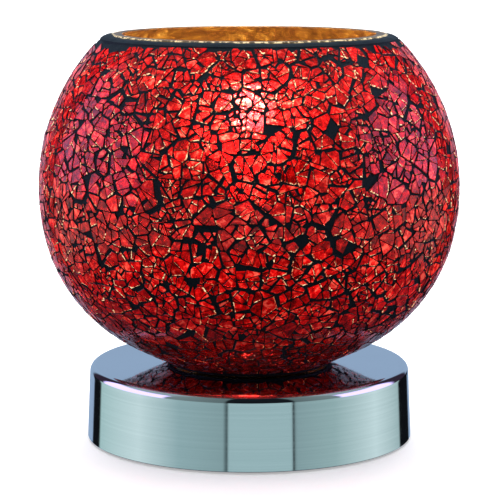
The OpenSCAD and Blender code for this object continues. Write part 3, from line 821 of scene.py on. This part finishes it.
def make_glass():
    floor_low, floor_top = BASE_TOP + 0.6 * MM, BASE_TOP + 3.6 * MM
    foot_r, hole_r, seat_r = GLASS_FOOT_R, 15 * MM, 24.4 * MM
    lips = [(across(GLASS_TOP - drop, GLASS_OUT), GLASS_TOP - drop)
            for drop in (0.12 * MM, 0.5 * MM, 1.0 * MM)]
    outline = [(lips[0][0] - 0.12 * MM, GLASS_TOP)] + lips
    outline += globe_outline(CHIP_T + 0.04 * MM, GLASS_TOP - 0.5 * MM, BASE_TOP + 1.6 * MM, 60)
    outline += [(foot_r - 0.3 * MM, BASE_TOP + 1.15 * MM), (foot_r, BASE_TOP + 0.8 * MM),
                (foot_r, BASE_TOP + 0.4 * MM), (foot_r - 0.25 * MM, BASE_TOP + 0.15 * MM),
                (seat_r, BASE_TOP + 0.15 * MM), (seat_r, floor_low),
                (hole_r, floor_low), (hole_r, floor_top)]
    inside = globe_outline(GLASS_IN, GLASS_TOP, floor_top, 60)
    outline += [p for p in inside[::-1] if p[1] >= floor_top and p[0] > hole_r]
    outline += [(across(GLASS_TOP - drop, GLASS_IN), GLASS_TOP - drop) for drop in (1.5 * MM, 0.12 * MM)]
    outline += [(across(GLASS_TOP, GLASS_IN) + 0.12 * MM, GLASS_TOP)]
    return lathe("glass_globe", outline, amber_glass_look(), 192)


add(make_glass(), "root", "amber_glass", "shade_globe")


def make_base():
    """Drawn shell: a leaning wall, a rolled edge, a flat top, a bead inside and a drilled cord inlet."""
    sheet, edge, hole, bead = 1.0 * MM, 2.75 * MM, 5.05 * MM, 1.8 * MM
    lean = 1.1 * MM / (BASE_TOP - BASE_LOW)
    wall = [(BASE_R - lean * (z - BASE_LOW), z) for z in
            [BASE_LOW + 0.25 * MM + (BASE_TOP - edge - BASE_LOW - 0.25 * MM) * i / 6 for i in range(7)]]
    shift = wall[-1][0] - edge
    outline = [(BASE_R - 0.25 * MM, BASE_LOW)] + wall
    outline += arc(shift, BASE_TOP - edge, edge, 4, 90, 16)
    outline += [(shift * i / 8, BASE_TOP) for i in range(7, 1, -1)]
    outline += [(hole, BASE_TOP), (hole, BASE_TOP - sheet)]
    outline += arc(shift, BASE_TOP - edge, edge - sheet, 90, 4, 8)
    inner = BASE_R - sheet
    outline += [(inner, BASE_LOW + 3.4 * MM), (inner - bead, BASE_LOW + 3.2 * MM),
                (inner - bead, BASE_LOW + 2.2 * MM), (inner, BASE_LOW + 2.2 * MM), (inner, BASE_LOW)]
    shell = lathe("chrome_base", outline, chrome_look(), 256)
    inlet_low, inlet_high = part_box("cord_bush")
    middle = (0, inlet_high.y - 4 * MM, (inlet_low.z + inlet_high.z) / 2)
    bpy.ops.mesh.primitive_cylinder_add(vertices=48, radius=5 * MM, depth=20 * MM, location=middle,
                                        rotation=(math.pi / 2, 0, 0))
    drill = bpy.context.object
    hole_cut = shell.modifiers.new("inlet", "BOOLEAN")
    hole_cut.object = drill
    bpy.context.view_layer.update()
    shape = bpy.data.meshes.new_from_object(shell.evaluated_get(bpy.context.evaluated_depsgraph_get()))
    shell.modifiers.clear()
    shell.data = shape
    bpy.data.objects.remove(drill)
    return smooth(shell)


add(make_base(), "root", "chrome_sheet", "base_shell")


def make_bulb():
    wall = 0.7 * MM

    def outline(inset):
        foot = BULB_HIGH.z - 78 * MM
        line = arc(0, BULB_Z, BULB_R - inset, 90, -50, 40)
        neck = [(9.9, 33.8), (8.8, 31.6), (8.1, 29), (7.8, 26.5), (7.7, 25.4), (7.7, 22.2)]
        return line + [(r * MM - inset, foot + z * MM) for r, z in neck]
    return lathe("bulb_glass", outline(0) + outline(wall)[::-1], bulb_glass_look(), 96)


add(make_bulb(), "bulb", "opal_glass", "bulb_envelope")

# ---------- CAD nodes that keep their shape ----------

NODE_LOOKS = {
    "black_steel": moulded_look("black_powder_coat", (0.03, 0.03, 0.032), 0.5, 1600),
    "steel_weight": metal_look("cut_steel", (0.42, 0.43, 0.45), 0.45),
    "zinc_steel": metal_look("zinc_plate", (0.68, 0.69, 0.70), 0.3),
    "foot_rubber": moulded_look("black_rubber", (0.025, 0.025, 0.025), 0.75, 1500),
    "brass": metal_look("turned_brass", (0.80, 0.60, 0.28), 0.25),
    "tinned_brass": metal_look("tinned_brass", (0.72, 0.72, 0.70), 0.3),
    "black_phenolic": moulded_look("black_phenolic", (0.024, 0.022, 0.020), 0.32, 900),
    "black_nylon": moulded_look("black_nylon", (0.03, 0.03, 0.03), 0.5),
    "white_nylon": moulded_look("white_nylon", (0.80, 0.80, 0.77), 0.45),
    "ivory_plastic": moulded_look("ivory_plastic", (0.76, 0.72, 0.62), 0.45),
    "circuit_board": moulded_look("circuit_board", (0.03, 0.16, 0.07), 0.35, 500, 0.3),
    "black_package": moulded_look("black_package", (0.02, 0.02, 0.02), 0.5),
    "copper_winding": moulded_look("copper_winding", (0.42, 0.16, 0.06), 0.3, 700, 0.3),
    "film_capacitor": moulded_look("film_capacitor", (0.62, 0.18, 0.04), 0.3),
    "brown_insulation": moulded_look("brown_insulation", (0.18, 0.07, 0.03), 0.45),
    "red_insulation": moulded_look("red_insulation", (0.42, 0.02, 0.02), 0.45),
    "blue_insulation": moulded_look("blue_insulation", (0.03, 0.11, 0.42), 0.45),
    "yellow_insulation": moulded_look("yellow_insulation", (0.70, 0.55, 0.05), 0.45),
    "steatite": moulded_look("steatite", (0.80, 0.78, 0.72), 0.6),
    "fibre_washer": moulded_look("vulcanised_fibre", (0.48, 0.34, 0.20), 0.7, 700, 0.25),
    "nickel_cap": metal_look("nickel_cap", (0.74, 0.71, 0.66), 0.3),
    "cap_glass": moulded_look("black_cap_glass", (0.02, 0.015, 0.02), 0.15),
    "solder": metal_look("solder", (0.62, 0.62, 0.62), 0.4),
    "clear_glass": moulded_look("stem_glass", (0.75, 0.82, 0.82), 0.1),
    "support_wire": metal_look("support_wire", (0.55, 0.52, 0.48), 0.3),
    "tungsten": metal_look("tungsten", (0.9, 0.6, 0.3), 0.4),
}
for entry in frame["record"]["subparts"]:
    look = NODE_LOOKS.get(entry["material_slot"])
    if look:
        for holder in frame["nodes"][entry["node"]].material_slots:
            holder.material = look

# ---------- floor, light and camera ----------

def studio_floor():
    bpy.ops.mesh.primitive_plane_add(size=14, location=(0, 3, 0))
    floor = bpy.context.object
    floor.name = "floor"
    look = Look("pale_floor", Roughness=0.7, Base_Color=(0.86, 0.87, 0.86), Emission_Color=(1.0, 1.0, 1.0),
                Emission_Strength=0.42)
    floor.data.materials.append(look.material)
    floor.visible_glossy = False
    floor.visible_diffuse = False


def studio_world():
    """Soft panels left and right, a pale backdrop behind and a dark room in front, seen by reflection."""
    world = bpy.data.worlds.new("studio")
    bpy.context.scene.world = world
    tree = NodeTree(world)
    place = tree.node("SeparateXYZ", {"Vector": tree.node("TexCoord").outputs["Generated"]})
    around = tree.maths("ARCTAN2", place.outputs["X"], tree.maths("MULTIPLY", place.outputs["Y"], -1.0))
    turn = tree.maths("MULTIPLY_ADD", around, 1 / TURN, 0.5)
    height = tree.maths("ARCSINE", place.outputs["Z"])

    def band(*stops):
        """Colours by degrees round the lamp: 0 is the front, 90 the right, and -180 and 180 the back."""
        return tree.ramp(turn, [(0.5 + degrees / 360, colour) for degrees, colour in stops])

    def rising(low, high):
        """Goes from 0 to 1 between two angles above the horizon, in degrees."""
        return tree.span(height, math.radians(low), math.radians(high))

    dark, gap = (0.008, 0.010, 0.013), (0.03, 0.02, 0.035)
    panel, soft, pale = (1.22, 1.0, 1.9), (0.30, 0.38, 0.42), (0.30, 0.415, 0.59)
    card, near = (0.20, 0.26, 0.27), (0.12, 0.17, 0.175)

    def canopy(side):
        return band((-180, pale), (-152, pale), (-147, gap), (-128, gap), (-124, side), (-64, side),
                    (-61, card), (-17.5, near), (-15.5, dark), (30.4, dark), (32.5, near), (66, card),
                    (69, side), (120, side), (126, gap), (148, gap), (153, pale), (180, pale))

    bar, thin_bar, edge = (0.005, 0.006, 0.008), (0.05, 0.08, 0.085), (0.30, 0.42, 0.60)
    middle, inner, outer = (0.36, 0.52, 0.54), (0.26, 0.385, 0.40), (0.63, 0.79, 0.80)
    wall = band((-180, edge), (-149, edge), (-147, bar), (-133, bar), (-131, (0.40, 0.59, 0.59)),
                (-84, outer), (-50, (0.31, 0.46, 0.48)), (-17.4, inner), (-16.4, thin_bar),
                (-15.4, thin_bar), (-14.6, middle), (29.6, middle), (30.4, bar), (31.6, bar),
                (32.5, inner), (62, (0.33, 0.48, 0.485)), (100, outer), (133, (0.37, 0.51, 0.52)),
                (135, bar), (158, bar), (160, edge), (180, edge))
    table, shade = (0.05, 0.05, 0.08), (0.01, 0.013, 0.017)
    below = band((-180, table), (-70, table), (-40, shade), (40, shade), (70, table), (180, table))
    zenith, fill, backdrop = (0.02, 0.02, 0.03), (0.19, 0.19, 0.20), (0.93, 0.93, 0.95)
    upper = tree.mix(rising(58, 66), tree.mix(rising(30, 36), canopy(panel), canopy(soft)), zenith)
    seen = tree.mix(rising(-22, -27), tree.mix(rising(-2, -4), upper, wall), below)
    path = tree.node("LightPath")
    lit = tree.mix(path.outputs["Is Diffuse Ray"], seen, fill)
    colour = tree.mix(path.outputs["Is Camera Ray"], lit, backdrop)
    tree.feed(tree.nodes["Background"].inputs["Color"], colour)


def studio_lights():
    def panel(name, place, aim, size, energy, colour):
        light = bpy.data.lights.new(name, "AREA")
        light.shape, light.size, light.energy, light.color = "DISK", size, energy, colour
        lamp = bpy.data.objects.new(name, light)
        lamp.location = place
        lamp.rotation_euler = (Vector(aim) - Vector(place)).to_track_quat("-Z", "Y").to_euler()
        lamp.visible_glossy = False
        lamp.visible_camera = False
        bpy.context.scene.collection.objects.link(lamp)

    panel("overhead", (0, 0.3, 2.2), (0, 0.3, 0), 2.6, 62, (1.0, 1.0, 1.0))
    panel("far_fill", (0, 3.2, 2.4), (0, 3.0, 0), 3.5, 110, (1.0, 1.0, 1.0))
    glow = bpy.data.lights.new("bulb_light", "POINT")
    glow.energy, glow.color, glow.shadow_soft_size = 1.4, (1.0, 0.78, 0.60), 8 * MM
    lamp = bpy.data.objects.new("bulb_light", glow)
    lamp.location = (0, 0, BULB_Z + 1 * MM)
    bpy.context.scene.collection.objects.link(lamp)


def camera():
    lens = bpy.data.cameras.new("camera")
    lens.sensor_width, lens.lens = 36.0, 158.0256
    view = bpy.data.objects.new("camera", lens)
    distance, height = 0.77866, 0.19153
    down, aside = math.radians(9.037), math.radians(0.02)
    view.location = (0, -distance, height)
    view.rotation_euler = (math.pi / 2 - down, 0, -aside)
    bpy.context.scene.collection.objects.link(view)
    bpy.context.scene.camera = view


bpy.context.scene.cycles.sample_clamp_indirect = 0   # else the bulb can't look white through red glass
studio_floor()
studio_world()
studio_lights()
camera()
bpy.context.scene.view_settings.view_transform = "Standard"
